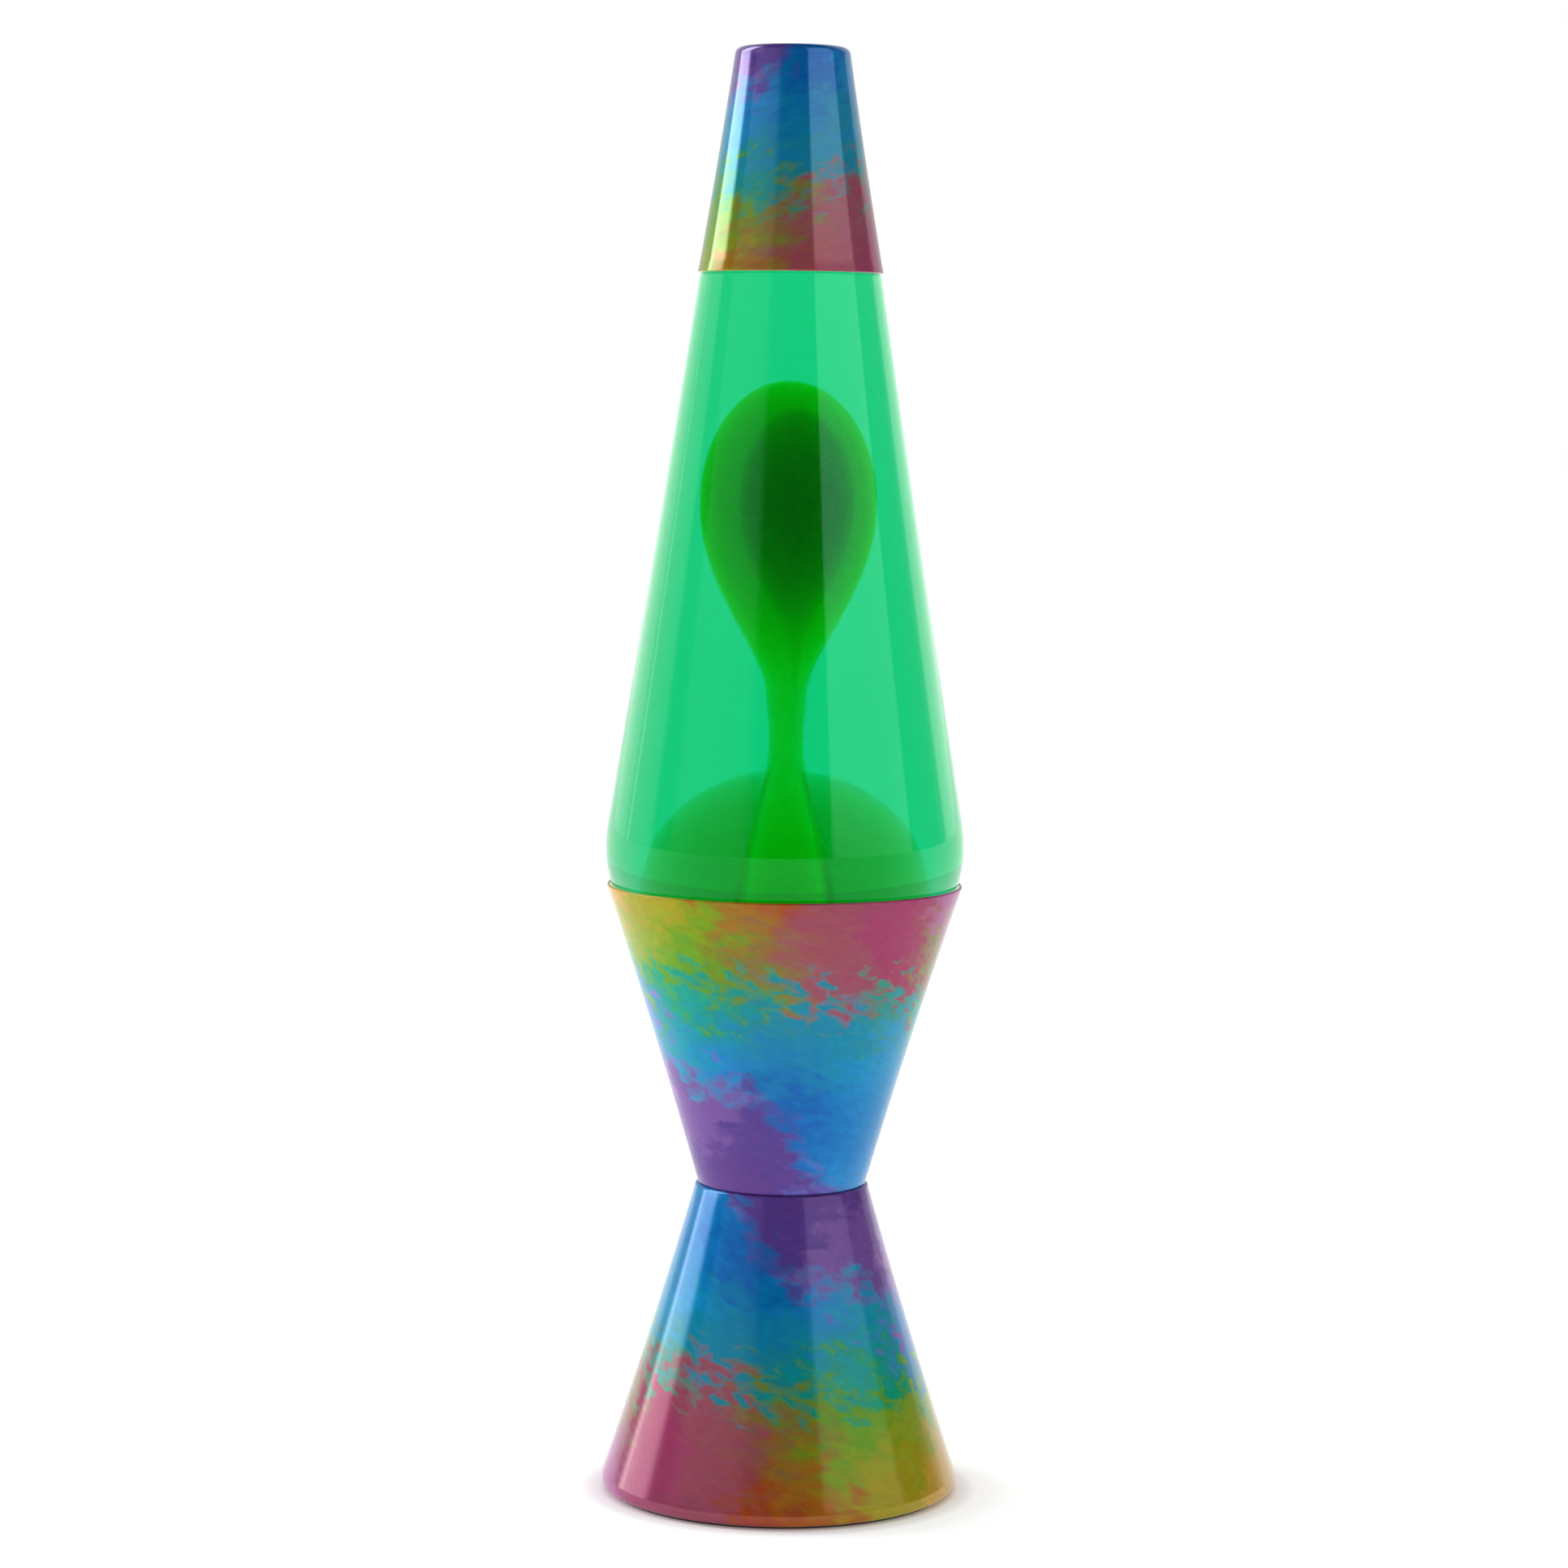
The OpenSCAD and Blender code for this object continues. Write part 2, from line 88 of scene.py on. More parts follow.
# The studio that shows in gloss and glass: how bright it is at each angle from the camera's side, to the
# right as the camera sees it. Softboxes stand at the left and right, with a bright strip beside the left one,
# and white paper behind.
PANELS = [(-180, 1.0), (-127, 1.0), (-120, 0.3), (-80, 0.3), (-76, 0.9), (-50, 0.9), (-28, 0.7), (-21, 0.10),
          (29.5, 0.08), (31.5, 2.0), (87, 2.0), (90, 0.3), (125, 0.3), (128, 1.0), (180, 1.0)]
STRIP = [(-180, 0.0), (-128, 0.0), (-121, 1.0), (-98, 1.0), (-92, 0.0), (180, 0.0)]
# How much of the studio there is at each elevation: less near the floor, and hardly any overhead
EDGES = [(0, 0.55), (10, 0.6), (19, 1.0), (40, 1.0), (58, 0.08), (90, 0.05)]
# How bright the panels and the strip look in paint and in glass
IN_PAINT, IN_GLASS = (0.6, 6.0), (1.6, 2.2)
# The world's brightness for the light that falls on matt surfaces, beside 1 where it is seen directly
FILL_LIGHT = 0.32
# Where the white paper behind the lamp shows: from this Y of a unit direction, up to this elevation
PAPER_BACK, PAPER_TOP = 0.5, 30.0


def make_world():
    """Gloss sees the studio. The camera sees even white, straight and through glass."""
    world = bpy.data.worlds.new("studio")
    bpy.context.scene.world = world
    world.use_nodes = True
    tree = world.node_tree
    tree.nodes.clear()
    way = add(tree, "ShaderNodeTexCoord").outputs["Generated"]
    parts = add(tree, "ShaderNodeSeparateXYZ", {0: way})
    path = add(tree, "ShaderNodeLightPath").outputs
    nearer = math_node(tree, "MULTIPLY", parts.outputs["Y"], -1.0)
    turn = math_node(tree, "ARCTAN2", parts.outputs["X"], nearer)
    across = math_node(tree, "MULTIPLY", turn, 180 / math.pi)
    up = math_node(tree, "MULTIPLY", math_node(tree, "ARCSINE", parts.outputs["Z"]), 180 / math.pi)
    glass = path["Is Singular Ray"]
    panels = math_node(tree, "MULTIPLY", follow(tree, across, PANELS, "LINEAR"),
                       spread(tree, glass, IN_PAINT[0], IN_GLASS[0]))
    strip = math_node(tree, "MULTIPLY", follow(tree, across, STRIP, "LINEAR"),
                      spread(tree, glass, IN_PAINT[1], IN_GLASS[1]))
    low = math_node(tree, "LESS_THAN", up, PAPER_TOP)
    behind = math_node(tree, "MULTIPLY", math_node(tree, "GREATER_THAN", parts.outputs["Y"], PAPER_BACK), low)
    kept = math_node(tree, "MAXIMUM", follow(tree, up, EDGES, "LINEAR"), behind)
    level = math_node(tree, "MULTIPLY", math_node(tree, "MAXIMUM", panels, strip), kept)
    light = add(tree, "ShaderNodeBackground", {"Color": (1, 1, 1, 1), "Strength": level})
    fill = spread(tree, path["Is Diffuse Ray"], 1.0, FILL_LIGHT)
    paper = add(tree, "ShaderNodeBackground", {"Color": (1, 1, 1, 1), "Strength": fill})
    plain = math_node(tree, "MAXIMUM", path["Is Camera Ray"],
                      math_node(tree, "MAXIMUM", path["Is Transmission Ray"], path["Is Diffuse Ray"]))
    both = add(tree, "ShaderNodeMixShader", {0: plain, 1: light.outputs[0], 2: paper.outputs[0]})
    add(tree, "ShaderNodeOutputWorld", {"Surface": both.outputs[0]})


# How bright the floor glows by itself at each distance from the lamp's axis, in mm. It stands for white paper
# with a soft contact shadow, so it falls off close round the foot.
FLOOR_LEVEL = [(0, 0.10), (44, 0.12), (47, 0.40), (52, 0.62), (62, 0.71), (80, 0.735), (200, 0.735)]
FLOOR_SIZE_M = 30


def make_floor():
    bpy.ops.mesh.primitive_plane_add(size=FLOOR_SIZE_M, location=(0, 0, 0))
    floor = bpy.context.object
    floor.name = "floor"
    material, tree, shader = new_material("floor_paper")
    shader.inputs["Base Color"].default_value = (0.9, 0.9, 0.9, 1)
    shader.inputs["Roughness"].default_value = 0.7
    shader.inputs["Emission Color"].default_value = (1, 1, 1, 1)
    across = add(tree, "ShaderNodeVectorMath", {0: object_mm(tree)}, operation="LENGTH").outputs["Value"]
    tree.links.new(follow(tree, across, FLOOR_LEVEL), shader.inputs["Emission Strength"])
    floor.data.materials.append(material)


# ---------------------------------------------------------------- material helpers

def new_material(name):
    """A new material, with its node tree and its Principled shader."""
    material = bpy.data.materials.new(name)
    material.use_nodes = True
    tree = material.node_tree
    return material, tree, tree.nodes["Principled BSDF"]


def object_mm(tree):
    """Object coordinates in millimetres."""
    place = add(tree, "ShaderNodeTexCoord").outputs["Object"]
    return add(tree, "ShaderNodeVectorMath", {0: place, 3: 1000.0}, operation="SCALE").outputs[0]


def speckle(tree, place, scale, detail=3.0, stretch=(1, 1, 1)):
    """Noise from 0 to 1, with its size set by scale in features for each millimetre."""
    stretched = add(tree, "ShaderNodeVectorMath", {0: place, 1: stretch}, operation="MULTIPLY").outputs[0]
    noise = add(tree, "ShaderNodeTexNoise", {"Vector": stretched, "Scale": scale, "Detail": detail})
    return noise.outputs["Fac"]


def spread(tree, value, low, high):
    """Maps a value from 0..1 to low..high."""
    return add(tree, "ShaderNodeMapRange", {0: value, 3: low, 4: high}).outputs[0]


def tint(tree, value, dark, light):
    """Mixes two colours by a value."""
    made = add(tree, "ShaderNodeMix", {0: value}, data_type="RGBA")
    made.inputs[6].default_value = (*dark, 1)
    made.inputs[7].default_value = (*light, 1)
    return made.outputs[2]


def bump(tree, height, distance_mm, strength=1.0):
    """A normal that is roughened by a height from 0 to 1."""
    made = add(tree, "ShaderNodeBump", {"Height": height, "Distance": distance_mm * MM, "Strength": strength})
    return made.outputs[0]


# ---------------------------------------------------------------- the painted print

# The print lies on a sheet: x runs round the shell from the front, and s runs from its wide edge, both in mm.
# Each layer's colours are dabbed on the sheet at (x, s), and melt into each other. All are listed, and
# the colours were chosen after sampling the photographed lamp's.
WARM = [
    (-58, 2, (0.70, 0.40, 0.04)), (-34, 2, (0.46, 0.36, 0.01)), (-15, 3, (0.42, 0.18, 0.01)),
    (-44, 10, (0.36, 0.42, 0.01)), (-26, 9, (0.24, 0.41, 0.00)), (-20, 17, (0.10, 0.36, 0.00)),
    (-52, 18, (0.24, 0.46, 0.06)), (-36, 19, (0.13, 0.42, 0.03)), (-9, 9, (0.30, 0.15, 0.02)),
    (-27, 14, (0.16, 0.38, 0.00)), (-16, 21, (0.09, 0.34, 0.02)), (-24, 24, (0.08, 0.36, 0.02)),
    (-6, 24, (0.12, 0.30, 0.03)), (0, -4, (0.42, 0.06, 0.01)), (-16, -5, (0.46, 0.12, 0.01)),
    (14, -4, (0.32, 0.06, 0.12)),
    (-6, 17, (0.28, 0.14, 0.05)), (4, 10, (0.36, 0.08, 0.10)), (10, 21, (0.34, 0.08, 0.13)),
    (14, 3, (0.36, 0.07, 0.11)), (30, 4, (0.38, 0.05, 0.15)), (58, 3, (0.44, 0.09, 0.30)),
    (38, 12, (0.40, 0.04, 0.13)), (52, 16, (0.28, 0.22, 0.06)), (58, 24, (0.20, 0.36, 0.03)),
]
BLUE = [
    (-34, 25, (0.00, 0.42, 0.14)), (-18, 28, (0.00, 0.34, 0.22)), (-27, 31, (0.00, 0.38, 0.32)),
    (-24, 40, (0.00, 0.34, 0.60)), (-10, 27, (0.00, 0.30, 0.24)), (-42, 38, (0.05, 0.30, 0.70)),
    (-14, 38, (0.01, 0.22, 0.66)), (2, 29, (0.02, 0.26, 0.28)), (4, 35, (0.00, 0.24, 0.45)),
    (12, 38, (0.00, 0.27, 0.44)), (28, 26, (0.03, 0.30, 0.20)), (54, 30, (0.04, 0.42, 0.28)),
    (34, 42, (0.00, 0.33, 0.62)), (2, 45, (0.00, 0.22, 0.50)), (4, 54, (0.00, 0.10, 0.45)),
    (22, 53, (0.00, 0.26, 0.60)), (12, 62, (0.00, 0.18, 0.56)), (18, 74, (0.01, 0.28, 0.66)),
    (-8, 70, (0.00, 0.20, 0.60)),
]
PURPLE = [
    (-48, 46, (0.34, 0.16, 0.52)), (-24, 52, (0.20, 0.09, 0.37)), (0, 62, (0.10, 0.05, 0.30)),
    (-10, 74, (0.13, 0.05, 0.29)), (22, 70, (0.13, 0.13, 0.50)),
]
# How far a spot's colour melts outwards, in mm
MELT = 6.0
# The brush's dabs: how many for each millimetre, how far each reaches over an edge, and how far it smears
DABS = [(0.10, 30.0, 18.0), (0.20, 50.0, 18.0)]
# How far each side of a layer's edge the two layers mix, in mm
EDGE_BLUR = 4.5
# The strokes: how they slope, and how much thinner they are than long
STROKE_TILT, STROKE_THIN = math.radians(16), 2.1
# How far the spots wander round the sheet, broadly and along the strokes, in mm
WANDER, FRAY = (9, 0, 9), (9, 0, 8)
# How much of a place's depth counts in the noise, and how metallic the paint is for each unit of gloss
PRINT_DEPTH, SHEEN = 0.6, 0.27
# How strong the dabs are at each s: most where the warm colours meet the blue
DAB_BAND = [(0, 0.35), (12, 0.6), (19, 1.0), (32, 1.0), (42, 0.45), (80, 0.45)]
# Where one layer gives way to the next, as s for each x
WARM_EDGE = [(-72, 20), (-30, 23), (-10, 22), (6, 26), (16, 28), (30, 26), (72, 23)]
BLUE_EDGE = [(-72, 36), (-42, 42), (-22, 47), (-9, 50), (-2, 58), (8, 69), (16, 79), (40, 84), (72, 60)]


def follow(tree, value, points, kind="EASE"):
    """A curve through a few points."""
    low, high = points[0][0], points[-1][0]
    most = max(p[1] for p in points)
    along = add(tree, "ShaderNodeMapRange", {0: value, 1: float(low), 2: float(high)}).outputs[0]
    ramp = add(tree, "ShaderNodeValToRGB", {0: along})
    ramp.color_ramp.interpolation = kind
    while len(ramp.color_ramp.elements) < len(points):
        ramp.color_ramp.elements.new(0.5)
    for element, (x, y) in zip(ramp.color_ramp.elements, points):
        element.position = (x - low) / (high - low)
        element.color = (y / most, y / most, y / most, 1)
    return math_node(tree, "MULTIPLY", ramp.outputs["Color"], float(most))


def shift(tree, place, field, amount):
    """Moves a place by a field whose values lie around 0.5."""
    centred = add(tree, "ShaderNodeVectorMath", {0: field, 1: (0.5, 0.5, 0.5)},
                  operation="SUBTRACT").outputs[0]
    scaled = add(tree, "ShaderNodeVectorMath", {0: centred, 1: amount}, operation="MULTIPLY").outputs[0]
    return add(tree, "ShaderNodeVectorMath", {0: place, 1: scaled}, operation="ADD").outputs[0]


def melted(tree, spot, anchors):
    """The mean of the anchors' colours, each weighted by how near it is."""
    total = weights = None
    for x, s, colour in anchors:
        gap = add(tree, "ShaderNodeVectorMath", {0: spot, 1: (x, 0, s)},
                  operation="DISTANCE").outputs["Value"]
        squared = math_node(tree, "MULTIPLY", math_node(tree, "POWER", gap, 2.0), -0.5 / MELT ** 2)
        weight = math_node(tree, "ADD", math_node(tree, "EXPONENT", squared), 1e-7)
        share = add(tree, "ShaderNodeVectorMath", {0: colour, 3: weight}, operation="SCALE").outputs[0]
        if total is None:
            total, weights = share, weight
            continue
        total = add(tree, "ShaderNodeVectorMath", {0: total, 1: share}, operation="ADD").outputs[0]
        weights = math_node(tree, "ADD", weights, weight)
    one_over = math_node(tree, "DIVIDE", 1.0, weights)
    return add(tree, "ShaderNodeVectorMath", {0: total, 3: one_over}, operation="SCALE").outputs[0]


def mixed(tree, share, a, b):
    """Mixes two linked colours by a share."""
    made = add(tree, "ShaderNodeMix", {0: share}, data_type="RGBA")
    tree.links.new(a, made.inputs[6])
    tree.links.new(b, made.inputs[7])
    return made.outputs[2]


def print_sheet(tree, place, edge_z, up, start, turn):
    """Where a place on a shell lies on the print's sheet, and the same with a depth, for front and back to
    differ. edge_z is the height of the wide edge, up is 1 if the shell rises from it and -1 if it falls,
    start moves the print along s, and turn, if given, mirrors it about half that x."""
    parts = add(tree, "ShaderNodeSeparateXYZ", {0: place})
    x, y, z = (parts.outputs[n] for n in range(3))
    squares = math_node(tree, "ADD", math_node(tree, "MULTIPLY", x, x), math_node(tree, "MULTIPLY", y, y))
    radius = math_node(tree, "SQRT", squares)
    angle = math_node(tree, "ARCSINE", math_node(tree, "DIVIDE", x, radius))
    across = math_node(tree, "MULTIPLY", radius, angle)
    if turn is not None:
        across = math_node(tree, "SUBTRACT", turn, across)
    along = math_node(tree, "MULTIPLY", math_node(tree, "SUBTRACT", z, edge_z), float(up))
    away = math_node(tree, "ADD", along, start)
    depth = math_node(tree, "MULTIPLY", y, PRINT_DEPTH)
    sheet = add(tree, "ShaderNodeCombineXYZ", {0: across, 1: 0.0, 2: away}).outputs[0]
    deep = add(tree, "ShaderNodeCombineXYZ", {0: across, 1: depth, 2: away}).outputs[0]
    return sheet, deep, away


def print_paint(name, edge_z, up, start=0.0, turn=None, gloss=0.6, blur=0.04):
    """Glossy paint over a brushed print."""
    material, tree, shader = new_material(name)
    place = object_mm(tree)
    sheet, deep, away = print_sheet(tree, place, edge_z, up, start, turn)
    tilted = add(tree, "ShaderNodeVectorRotate", {"Vector": deep, "Angle": STROKE_TILT},
                 rotation_type="Y_AXIS").outputs[0]
    strokes = add(tree, "ShaderNodeVectorMath", {0: tilted, 1: (1, 1, STROKE_THIN)},
                  operation="MULTIPLY").outputs[0]
    broad = add(tree, "ShaderNodeTexNoise", {"Vector": deep, "Scale": 0.05, "Detail": 2.0}).outputs["Color"]
    fine = add(tree, "ShaderNodeTexNoise", {"Vector": strokes, "Scale": 0.16, "Detail": 5.0,
                                            "Roughness": 0.6}).outputs["Color"]
    spot = shift(tree, sheet, broad, WANDER)
    spot = shift(tree, spot, fine, FRAY)
    patches = speckle(tree, deep, 0.05, 1.0)
    calm = add(tree, "ShaderNodeMapRange", {0: patches, 1: 0.38, 2: 0.58, 3: 0.5}).outputs[0]
    where = math_node(tree, "MULTIPLY", calm, follow(tree, away, DAB_BAND))
    at = add(tree, "ShaderNodeSeparateXYZ", {0: spot})
    over = at.outputs["Z"]
    for scale, reach, smear in DABS:
        dabs = add(tree, "ShaderNodeTexNoise", {"Vector": strokes, "Scale": scale, "Detail": 1.0,
                                                "Distortion": 0.6}).outputs["Color"]
        spot = shift(tree, spot, dabs, (smear, 0, smear))
        height = math_node(tree, "SUBTRACT", add(tree, "ShaderNodeSeparateXYZ", {0: dabs}).outputs["Z"], 0.5)
        lift = math_node(tree, "MULTIPLY", math_node(tree, "MULTIPLY", height, reach), where)
        over = math_node(tree, "ADD", over, lift)
    colour = melted(tree, spot, WARM)
    for layer, edge in ((BLUE, WARM_EDGE), (PURPLE, BLUE_EDGE)):
        past = math_node(tree, "SUBTRACT", over, follow(tree, at.outputs["X"], edge))
        share = add(tree, "ShaderNodeMapRange", {0: past, 1: -EDGE_BLUR, 2: EDGE_BLUR}).outputs[0]
        colour = mixed(tree, share, colour, melted(tree, spot, layer))
    grain = spread(tree, speckle(tree, strokes, 0.4, 5.0), 0.82, 1.18)
    colour = add(tree, "ShaderNodeVectorMath", {0: colour, 3: grain}, operation="SCALE").outputs[0]
    tree.links.new(colour, shader.inputs["Base Color"])
    scuffs = speckle(tree, place, 0.6, 5.0)
    tree.links.new(spread(tree, scuffs, 0.08, 0.16), shader.inputs["Roughness"])
    shader.inputs["Specular IOR Level"].default_value = 0.1
    shader.inputs["Metallic"].default_value = gloss * SHEEN
    shader.inputs["Coat Weight"].default_value = gloss
    shader.inputs["Coat Roughness"].default_value = blur
    shader.inputs["Coat IOR"].default_value = 1.5
    tree.links.new(bump(tree, speckle(tree, place, 0.1, 1.0), 0.02, 0.2), shader.inputs["Coat Normal"])
    tree.links.new(bump(tree, fine, 0.02, 0.4), shader.inputs["Normal"])
    return material


# ---------------------------------------------------------------- the other materials

def spun_metal(name, dark, light, roughness, ring_pitch=0.5):
    """Bare metal with the fine rings that spinning or turning leaves."""
    material, tree, shader = new_material(name)
    place = object_mm(tree)
    rings = speckle(tree, place, 1.0 / ring_pitch, 2.0, (0.02, 0.02, 1))
    stains = speckle(tree, place, 0.15, 4.0)
    tree.links.new(tint(tree, stains, dark, light), shader.inputs["Base Color"])
    shader.inputs["Metallic"].default_value = 1.0
    tree.links.new(spread(tree, rings, roughness * 0.75, roughness * 1.3), shader.inputs["Roughness"])
    tree.links.new(bump(tree, rings, 0.03, 0.4), shader.inputs["Normal"])
    return material


def moulded(name, dark, light, roughness, grain=1.2, depth=0.02):
    """Moulded plastic or rubber with a fine grain and slightly uneven colour."""
    material, tree, shader = new_material(name)
    place = object_mm(tree)
    fine = speckle(tree, place, grain, 4.0)
    tree.links.new(tint(tree, speckle(tree, place, 0.08, 3.0), dark, light), shader.inputs["Base Color"])
    tree.links.new(spread(tree, fine, roughness * 0.8, roughness * 1.25), shader.inputs["Roughness"])
    tree.links.new(bump(tree, fine, depth, 0.6), shader.inputs["Normal"])
    return material


def reflector_painted_glow():
    """The cone's bare inside, with a painted glow that stands for the light the bulb throws on it; the bulb
    itself gives no light.
    """
    material = spun_metal("reflector_painted_glow", (0.30, 0.29, 0.27), (0.42, 0.41, 0.39), 0.3)
    shader = material.node_tree.nodes["Principled BSDF"]
    # Painted light: this glow stands for the lit bulb's light on the bare metal.
    shader.inputs["Emission Color"].default_value = (1.0, 0.93, 0.8, 1)
    shader.inputs["Emission Strength"].default_value = 0.6
    return material


def clear_glass(name, colour=(1, 1, 1), ior=1.5, gleam=(1, 1, 1), one_way=False):
    """Clear glass with the slight waviness of blown glass. One-way glass bends light only as it comes in,
    which real glass doesn't do: the light that a full bottle traps at its edges rendered black."""
    material, tree, shader = new_material(name)
    place = object_mm(tree)
    shader.inputs["Base Color"].default_value = (*colour, 1)
    shader.inputs["Transmission Weight"].default_value = 1.0
    shader.inputs["Roughness"].default_value = 0.0
    if one_way:
        inside = add(tree, "ShaderNodeNewGeometry").outputs["Backfacing"]
        tree.links.new(spread(tree, inside, ior, 1.0), shader.inputs["IOR"])
    else:
        shader.inputs["IOR"].default_value = ior
    shader.inputs["Specular Tint"].default_value = (*gleam, 1)
    tree.links.new(bump(tree, speckle(tree, place, 0.035, 1.0), 0.03, 0.25), shader.inputs["Normal"])
    return material


def thin_glass(name):
    """Glass so thin that it hardly bends light: mostly see-through, with a clear gloss."""
    material, tree, shader = new_material(name)
    streaks = speckle(tree, object_mm(tree), 0.08, 2.0)
    tree.links.new(tint(tree, streaks, (0.74, 0.78, 0.80), (0.92, 0.95, 0.97)), shader.inputs["Base Color"])
    tree.links.new(spread(tree, streaks, 0.03, 0.07), shader.inputs["Roughness"])
    tree.links.new(bump(tree, streaks, 0.02, 0.2), shader.inputs["Normal"])
    shader.inputs["Alpha"].default_value = 0.3
    return material


def unseen(name):
    """Not drawn. The bottle's wet wall has it, since liquid and glass bend light nearly alike."""
    material, _, shader = new_material(name)
    shader.inputs["Alpha"].default_value = 0.0
    return material


def in_glass(name, colour, absorbed, density):
    """Clear liquid or wax, which colours and darkens light without bending it."""
    material, tree, shader = new_material(name)
    swirls = speckle(tree, object_mm(tree), 0.03, 2.0)
    tree.links.new(tint(tree, swirls, [c * 0.97 for c in colour], colour), shader.inputs["Base Color"])
    shader.inputs["Transmission Weight"].default_value = 1.0
    shader.inputs["Roughness"].default_value = 0.0
    shader.inputs["IOR"].default_value = 1.0
    absorb = add(tree, "ShaderNodeVolumeAbsorption", {"Color": (*absorbed, 1), "Density": density})
    tree.links.new(absorb.outputs[0], tree.nodes["Material Output"].inputs["Volume"])
    return material


# ---------------------------------------------------------------- mesh helpers

SPIN_STEPS = 192
# Edges sharper than this many degrees aren't shaded smooth
SHARP_A, WAX_SHARP_A = 35, 30


def arc(centre, radius, start, stop, steps=10):
    """Points on an arc in the plane of radius and height, with angles in degrees."""
    made = []
    for i in range(steps + 1):
        a = math.radians(start + (stop - start) * i / steps)
        made.append((centre[0] + radius * math.cos(a), centre[1] + radius * math.sin(a)))
    return made


def bow(p, q, sag, steps=16):
    """Points between p and q on a shallow bow, to the right of the way from p to q."""
    along = Vector(q) - Vector(p)
    side = Vector((along.y, -along.x)).normalized()
    made = []
    for i in range(1, steps):
        t = i / steps
        made.append(tuple(Vector(p) + along * t + side * sag * 4 * t * (1 - t)))
    return made


def piece(name, mesh_data, body, nodes=()):
    """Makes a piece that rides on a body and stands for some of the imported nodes."""
    made = bpy.data.objects.new(name, mesh_data)
    bpy.context.scene.collection.objects.link(made)
    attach(made, body)
    if nodes:
        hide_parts(*nodes)
    return made


def lathe(name, outline, closed=True, steps=SPIN_STEPS):
    """Spins an outline of (radius, height) points in millimetres round the axis."""
    shape = bmesh.new()
    rings = []
    for r, z in outline:
        if r < 1e-6:
            rings.append([shape.verts.new((0, 0, z * MM))])
            continue
        turn = [2 * math.pi * k / steps for k in range(steps)]
        rings.append([shape.verts.new((r * math.cos(a) * MM, r * math.sin(a) * MM, z * MM)) for a in turn])
    pairs = list(zip(rings, rings[1:])) + ([(rings[-1], rings[0])] if closed else [])
    for low, high in pairs:
        for k in range(steps):
            n = (k + 1) % steps
            if len(low) == 1 and len(high) == 1:
                break
            if len(low) == 1:
                corners = (low[0], high[n], high[k])
            elif len(high) == 1:
                corners = (low[k], low[n], high[0])
            else:
                corners = (low[k], low[n], high[n], high[k])
            shape.faces.new(corners)
    bmesh.ops.recalc_face_normals(shape, faces=shape.faces)
    return to_mesh(name, shape)


def to_mesh(name, shape):
    """A mesh that is shaded smooth except at its sharp edges."""
    for face in shape.faces:
        face.smooth = True
    for edge in shape.edges:
        if len(edge.link_faces) == 2 and edge.calc_face_angle(0) > math.radians(SHARP_A):
            edge.smooth = False
    made = bpy.data.meshes.new(name)
    shape.to_mesh(made)
    shape.free()
    return made


def side_of(mesh, outer, inner, is_inner):
    """Gives a shell one material outside and another inside."""
    mesh.materials.append(outer)
    mesh.materials.append(inner)
    for face in mesh.polygons:
        face.material_index = 1 if is_inner(face) else 0


def faces_inwards(face, tip=0.02):
    """Does a face of a spun shell look at the axis, or at the shell's hollow?"""
    out = Vector((face.center.x, face.center.y, 0))
    return out.length > 1e-6 and face.normal.dot(out.normalized()) < -tip


# ---------------------------------------------------------------- painted shells

WAIST_Z = 79.8
RIM_Z = 156.9
CAP_Z = 311.8
TOP_Z = 368.3
SHELL_T = 0.6
# The rounding of both cones' edges at the waist
WAIST_EDGE_R = 0.8

CAP_LOW_R = 23.45
CAP_TOP_R = 14.6
CAP_ROUND_R = 2.0
CAP_SAG = 0.2


def cap_wall(t):
    """The cap's wall and rounded top, t inside its outer face."""
    top = arc((CAP_TOP_R - CAP_ROUND_R, TOP_Z - CAP_ROUND_R), CAP_ROUND_R - t, 0, 90)
    return bow((CAP_LOW_R - t, CAP_Z), top[0], -CAP_SAG) + top


def make_cap():
    """The cap: a thin shell, painted outside and bare inside."""
    outline = [(0, TOP_Z - SHELL_T)] + cap_wall(SHELL_T)[::-1]
    outline += arc((CAP_LOW_R - SHELL_T / 2, CAP_Z + SHELL_T / 2), SHELL_T / 2, -180, 0, 8)
    outline += cap_wall(0) + [(0, TOP_Z)]
    mesh = lathe("painted_cap", outline, closed=False)
    side_of(mesh, print_paint("cap_print", CAP_Z, 1, start=4.0, gloss=0.9), METAL["bare"],
            lambda f: faces_inwards(f) or (f.normal.z < -0.5 and f.center.z > (TOP_Z - 5) * MM))
    piece("painted_cap", mesh, "cap", ["cap"])


UPPER_WAIST_R = 21.75
RIM_R = 45.4
RIM_EDGE_R = 0.45
UPPER_SAG = 0.44
UPPER_SLOPE = math.degrees(math.atan2(RIM_R - UPPER_WAIST_R, RIM_Z - WAIST_Z))
# The hole in both cones' floors, which the lampholder's neck passes
HOLE_R = 11.6


